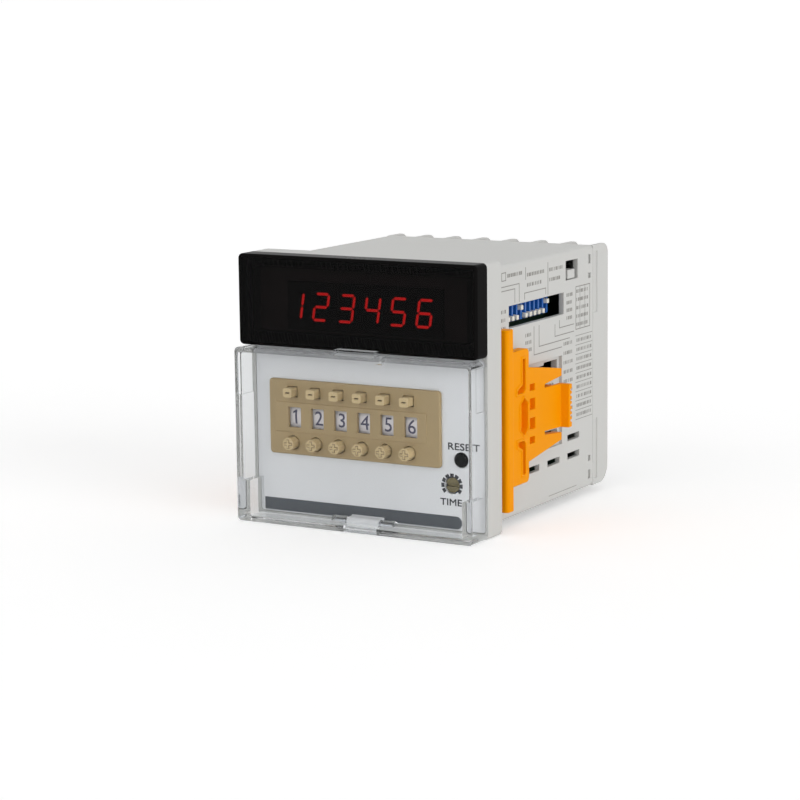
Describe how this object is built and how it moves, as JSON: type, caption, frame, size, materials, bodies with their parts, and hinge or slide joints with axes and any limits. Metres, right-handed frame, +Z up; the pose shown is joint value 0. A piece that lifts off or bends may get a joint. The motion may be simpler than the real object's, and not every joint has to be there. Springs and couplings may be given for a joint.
{
  "type": "panel counter",
  "caption": "Square panel-mounted preset counter with a smoked digit window, push-wheel switches under a clear hinged cover, side levers, slide-on clamps and rear screw terminals.",
  "frame": {"origin": "centre of the flange's rear face, which seats on the panel", "axes": "+X to the right seen from the front, +Y rearwards through the panel, +Z up"},
  "size_m": [0.0786, 0.0867, 0.072],
  "materials": {
    "case_grey": "fine matt moulded plastic",
    "plate_grey": "smooth matt moulded plastic",
    "strip_slate": "satin printed strip",
    "smoked": "glossy smoked plastic",
    "clear": "clear glossy plastic",
    "tan": "satin moulded plastic",
    "wheel_white": "satin moulded plastic",
    "led_dark": "matt moulded plastic",
    "board_green": "circuit board",
    "black": "satin moulded plastic",
    "blue": "satin moulded plastic",
    "ivory": "satin moulded plastic",
    "orange": "satin moulded plastic",
    "steel": "plated steel",
    "brass": "plain brass",
    "core_steel": "laminated steel",
    "coil": "taped winding"
  },
  "bodies": {
    "counter": {"case": "case_grey", "front_plate": "plate_grey", "front_strip": "strip_slate", "display_window": "smoked", "led_digits": "led_dark", "display_board": "board_green", "switch_frame": "tan", "switch_wafers": "tan", "switch_end_plate": "tan", "reset_switch": "black", "trimmer_body": "blue", "hinge_pin": "steel", "main_board": "board_green", "power_board": "board_green", "transformer_core": "core_steel", "transformer_coil": "coil", "relay": "blue", "capacitor": "black", "dip_body": "blue", "selector_body": "black", "terminal_block": "case_grey", "terminal_tabs": "steel", "terminal_clamps": "brass", "terminal_screws": "steel"},
    "cover": {"front_cover": "clear"},
    "wheel_1": {"number_wheel_1": "wheel_white"},
    "wheel_2": {"number_wheel_2": "wheel_white"},
    "wheel_3": {"number_wheel_3": "wheel_white"},
    "wheel_4": {"number_wheel_4": "wheel_white"},
    "wheel_5": {"number_wheel_5": "wheel_white"},
    "wheel_6": {"number_wheel_6": "wheel_white"},
    "minus_1": {"minus_button_1": "tan"},
    "plus_1": {"plus_button_1": "tan"},
    "minus_2": {"minus_button_2": "tan"},
    "plus_2": {"plus_button_2": "tan"},
    "minus_3": {"minus_button_3": "tan"},
    "plus_3": {"plus_button_3": "tan"},
    "minus_4": {"minus_button_4": "tan"},
    "plus_4": {"plus_button_4": "tan"},
    "minus_5": {"minus_button_5": "tan"},
    "plus_5": {"plus_button_5": "tan"},
    "minus_6": {"minus_button_6": "tan"},
    "plus_6": {"plus_button_6": "tan"},
    "reset": {"reset_button": "black"},
    "trimmer": {"trimmer_rotor": "brass"},
    "lever_1": {"dip_lever_1": "ivory"},
    "lever_2": {"dip_lever_2": "ivory"},
    "lever_3": {"dip_lever_3": "ivory"},
    "lever_4": {"dip_lever_4": "ivory"},
    "lever_5": {"dip_lever_5": "ivory"},
    "lever_6": {"dip_lever_6": "ivory"},
    "lever_7": {"dip_lever_7": "ivory"},
    "lever_8": {"dip_lever_8": "ivory"},
    "lever_9": {"dip_lever_9": "ivory"},
    "lever_10": {"dip_lever_10": "ivory"},
    "selector": {"selector_knob": "case_grey"},
    "clamp_right": {"bracket_right": "orange"},
    "clamp_left": {"bracket_left": "orange"}
  },
  "joints": [
    {"name": "cover_turn", "type": "hinge", "parent": "counter", "child": "cover", "pos_m": [0, -0.0094, -0.0345], "axis": [1, 0, 0], "range_deg": [0, 95]},
    {"name": "wheel_1_turn", "type": "hinge", "parent": "counter", "child": "wheel_1", "pos_m": [-0.0218, 0, -0.00785], "axis": [1, 0, 0], "continuous": true},
    {"name": "wheel_2_turn", "type": "hinge", "parent": "counter", "child": "wheel_2", "pos_m": [-0.01468, 0, -0.00785], "axis": [1, 0, 0], "continuous": true},
    {"name": "wheel_3_turn", "type": "hinge", "parent": "counter", "child": "wheel_3", "pos_m": [-0.00756, 0, -0.00785], "axis": [1, 0, 0], "continuous": true},
    {"name": "wheel_4_turn", "type": "hinge", "parent": "counter", "child": "wheel_4", "pos_m": [-0.00044, 0, -0.00785], "axis": [1, 0, 0], "continuous": true},
    {"name": "wheel_5_turn", "type": "hinge", "parent": "counter", "child": "wheel_5", "pos_m": [0.00668, 0, -0.00785], "axis": [1, 0, 0], "continuous": true},
    {"name": "wheel_6_turn", "type": "hinge", "parent": "counter", "child": "wheel_6", "pos_m": [0.0138, 0, -0.00785], "axis": [1, 0, 0], "continuous": true},
    {"name": "minus_1_slide", "type": "slide", "parent": "counter", "child": "minus_1", "axis": [0, 1, 0], "range_m": [0, 0.0012], "stiffness_N_per_m": 500},
    {"name": "plus_1_slide", "type": "slide", "parent": "counter", "child": "plus_1", "axis": [0, 1, 0], "range_m": [0, 0.0012], "stiffness_N_per_m": 500},
    {"name": "minus_2_slide", "type": "slide", "parent": "counter", "child": "minus_2", "axis": [0, 1, 0], "range_m": [0, 0.0012], "stiffness_N_per_m": 500},
    {"name": "plus_2_slide", "type": "slide", "parent": "counter", "child": "plus_2", "axis": [0, 1, 0], "range_m": [0, 0.0012], "stiffness_N_per_m": 500},
    {"name": "minus_3_slide", "type": "slide", "parent": "counter", "child": "minus_3", "axis": [0, 1, 0], "range_m": [0, 0.0012], "stiffness_N_per_m": 500},
    {"name": "plus_3_slide", "type": "slide", "parent": "counter", "child": "plus_3", "axis": [0, 1, 0], "range_m": [0, 0.0012], "stiffness_N_per_m": 500},
    {"name": "minus_4_slide", "type": "slide", "parent": "counter", "child": "minus_4", "axis": [0, 1, 0], "range_m": [0, 0.0012], "stiffness_N_per_m": 500},
    {"name": "plus_4_slide", "type": "slide", "parent": "counter", "child": "plus_4", "axis": [0, 1, 0], "range_m": [0, 0.0012], "stiffness_N_per_m": 500},
    {"name": "minus_5_slide", "type": "slide", "parent": "counter", "child": "minus_5", "axis": [0, 1, 0], "range_m": [0, 0.0012], "stiffness_N_per_m": 500},
    {"name": "plus_5_slide", "type": "slide", "parent": "counter", "child": "plus_5", "axis": [0, 1, 0], "range_m": [0, 0.0012], "stiffness_N_per_m": 500},
    {"name": "minus_6_slide", "type": "slide", "parent": "counter", "child": "minus_6", "axis": [0, 1, 0], "range_m": [0, 0.0012], "stiffness_N_per_m": 500},
    {"name": "plus_6_slide", "type": "slide", "parent": "counter", "child": "plus_6", "axis": [0, 1, 0], "range_m": [0, 0.0012], "stiffness_N_per_m": 500},
    {"name": "reset_slide", "type": "slide", "parent": "counter", "child": "reset", "axis": [0, 1, 0], "range_m": [0, 0.0005], "stiffness_N_per_m": 1500},
    {"name": "trimmer_turn", "type": "hinge", "parent": "counter", "child": "trimmer", "pos_m": [0.0255, -0.0076, -0.02235], "axis": [0, 1, 0], "range_deg": [-135, 135]},
    {"name": "lever_1_slide", "type": "slide", "parent": "counter", "child": "lever_1", "axis": [0, 0, 1], "range_m": [0, 0.0024]},
    {"name": "lever_2_slide", "type": "slide", "parent": "counter", "child": "lever_2", "axis": [0, 0, 1], "range_m": [0, 0.0024]},
    {"name": "lever_3_slide", "type": "slide", "parent": "counter", "child": "lever_3", "axis": [0, 0, 1], "range_m": [0, 0.0024]},
    {"name": "lever_4_slide", "type": "slide", "parent": "counter", "child": "lever_4", "axis": [0, 0, 1], "range_m": [-0.0024, 0]},
    {"name": "lever_5_slide", "type": "slide", "parent": "counter", "child": "lever_5", "axis": [0, 0, 1], "range_m": [0, 0.0024]},
    {"name": "lever_6_slide", "type": "slide", "parent": "counter", "child": "lever_6", "axis": [0, 0, 1], "range_m": [0, 0.0024]},
    {"name": "lever_7_slide", "type": "slide", "parent": "counter", "child": "lever_7", "axis": [0, 0, 1], "range_m": [0, 0.0024]},
    {"name": "lever_8_slide", "type": "slide", "parent": "counter", "child": "lever_8", "axis": [0, 0, 1], "range_m": [0, 0.0024]},
    {"name": "lever_9_slide", "type": "slide", "parent": "counter", "child": "lever_9", "axis": [0, 0, 1], "range_m": [0, 0.0024]},
    {"name": "lever_10_slide", "type": "slide", "parent": "counter", "child": "lever_10", "axis": [0, 0, 1], "range_m": [-0.0024, 0]},
    {"name": "selector_slide", "type": "slide", "parent": "counter", "child": "selector", "axis": [0, 0, 1], "range_m": [0, 0.0024]},
    {"name": "clamp_right_slide", "type": "slide", "parent": "counter", "child": "clamp_right", "axis": [0, 1, 0], "range_m": [-0.0012, 0.005]},
    {"name": "clamp_left_slide", "type": "slide", "parent": "counter", "child": "clamp_left", "axis": [0, 1, 0], "range_m": [-0.0012, 0.005]}
  ]
}
